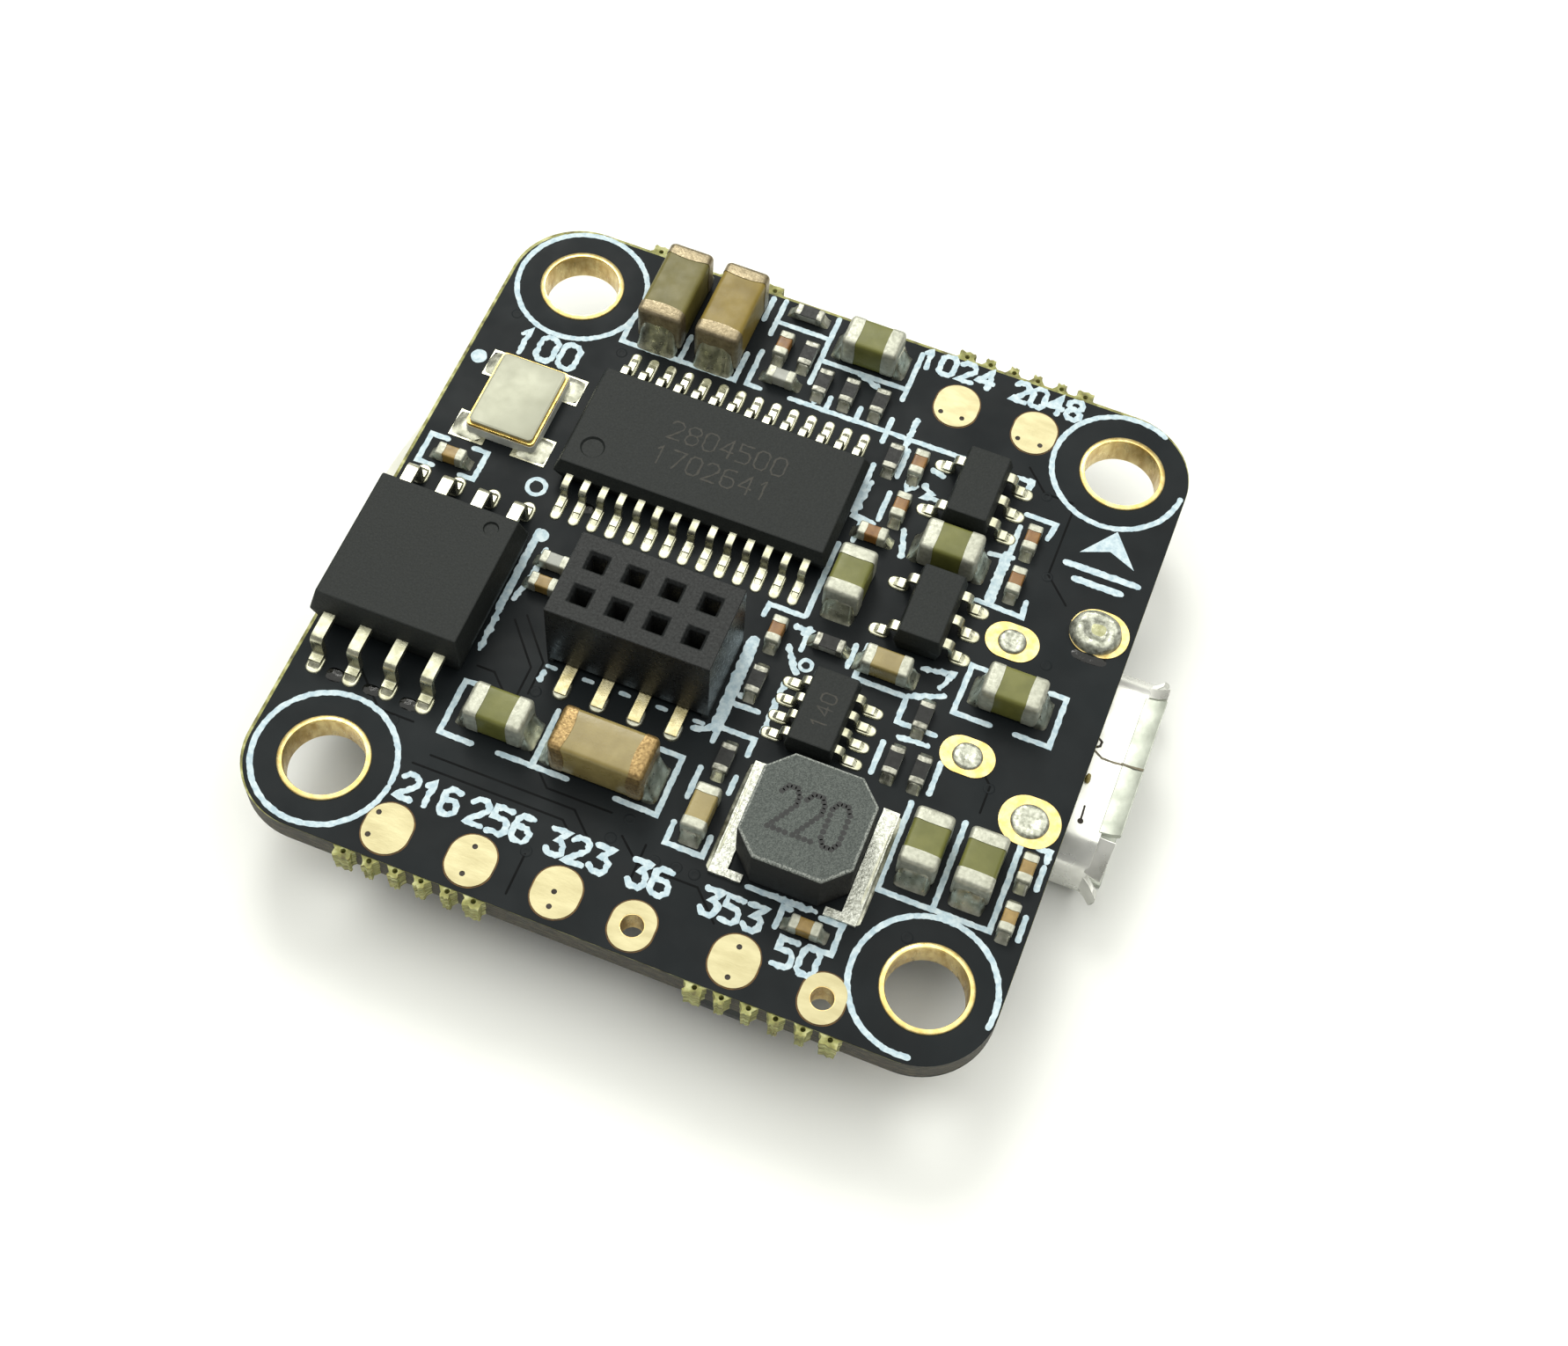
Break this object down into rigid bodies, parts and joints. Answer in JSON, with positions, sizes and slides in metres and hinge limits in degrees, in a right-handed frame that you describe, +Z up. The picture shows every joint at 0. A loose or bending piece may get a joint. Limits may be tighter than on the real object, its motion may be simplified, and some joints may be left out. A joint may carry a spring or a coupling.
{
  "type": "flight controller board",
  "caption": "Square drone flight controller board with corner mounting holes, surface-mounted chips, header socket, micro-USB port, harness connector and boot button.",
  "frame": {"origin": "centre of the mounting-hole square, on the surface that the board stands on when its two underside connectors rest on it", "axes": "+Z up out of the component side, +X towards the micro-USB edge, +Y towards the rear edge"},
  "size_m": [0.0273, 0.0256, 0.0072],
  "materials": {
    "solder_mask": "satin",
    "gold_plating": "satin",
    "steel": "satin",
    "tinned_metal": "satin",
    "chip_moulding": "matte",
    "black_plastic": "matte",
    "ivory_plastic": "satin",
    "ferrite": "matte",
    "crystal_lid": "satin",
    "olive_ceramic": "satin",
    "tan_ceramic": "satin",
    "brown_ceramic": "satin",
    "amber_lens": "gloss"
  },
  "bodies": {
    "board": {"barometer": "steel", "boot_button_base": "black_plastic", "boot_button_cover": "steel", "boot_button_dome": "steel", "buck_converter": "chip_moulding", "capacitor_0402_01": "brown_ceramic", "capacitor_0402_02": "brown_ceramic", "capacitor_0402_03": "brown_ceramic", "capacitor_0402_04": "brown_ceramic", "capacitor_0402_05": "brown_ceramic", "capacitor_0402_06": "brown_ceramic", "capacitor_0402_07": "brown_ceramic", "capacitor_0402_08": "brown_ceramic", "capacitor_0402_09": "brown_ceramic", "capacitor_0402_10": "brown_ceramic", "capacitor_0402_11": "brown_ceramic", "capacitor_0402_12": "brown_ceramic", "capacitor_0603_01": "tan_ceramic", "capacitor_0603_02": "tan_ceramic", "capacitor_0805_01": "olive_ceramic", "capacitor_0805_02": "olive_ceramic", "capacitor_0805_03": "olive_ceramic", "capacitor_0805_04": "olive_ceramic", "capacitor_0805_05": "olive_ceramic", "capacitor_0805_06": "olive_ceramic", "capacitor_0805_07": "olive_ceramic", "capacitor_1206_01": "olive_ceramic", "capacitor_1206_02": "tan_ceramic", "capacitor_1206_03": "tan_ceramic", "circuit_board": "solder_mask", "flash_chip": "chip_moulding", "harness_connector": "ivory_plastic", "header_socket": "black_plastic", "inductor_core": "ferrite", "inductor_terminal_left": "tinned_metal", "inductor_terminal_right": "tinned_metal", "microcontroller": "chip_moulding", "microcontroller_crystal": "crystal_lid", "motion_sensor": "chip_moulding", "mounting_ring_front_left": "gold_plating", "mounting_ring_front_right": "gold_plating", "mounting_ring_rear_left": "gold_plating", "mounting_ring_rear_right": "gold_plating", "osd_chip": "chip_moulding", "osd_crystal": "crystal_lid", "protection_diode": "black_plastic", "regulator_middle": "chip_moulding", "regulator_rear": "chip_moulding", "socket_contact_front_1": "gold_plating", "socket_contact_front_2": "gold_plating", "socket_contact_front_3": "gold_plating", "socket_contact_front_4": "gold_plating", "socket_contact_rear_1": "gold_plating", "socket_contact_rear_2": "gold_plating", "socket_contact_rear_3": "gold_plating", "socket_contact_rear_4": "gold_plating", "status_light": "amber_lens", "usb_shell": "steel", "usb_tongue": "black_plastic"},
    "plunger": {"boot_button_plunger": "black_plastic"}
  },
  "joints": [
    {"name": "boot_button_press", "type": "slide", "parent": "board", "child": "plunger", "axis": [0, 0, 1], "range_m": [0, 0.00025], "stiffness_N_per_m": 200}
  ]
}
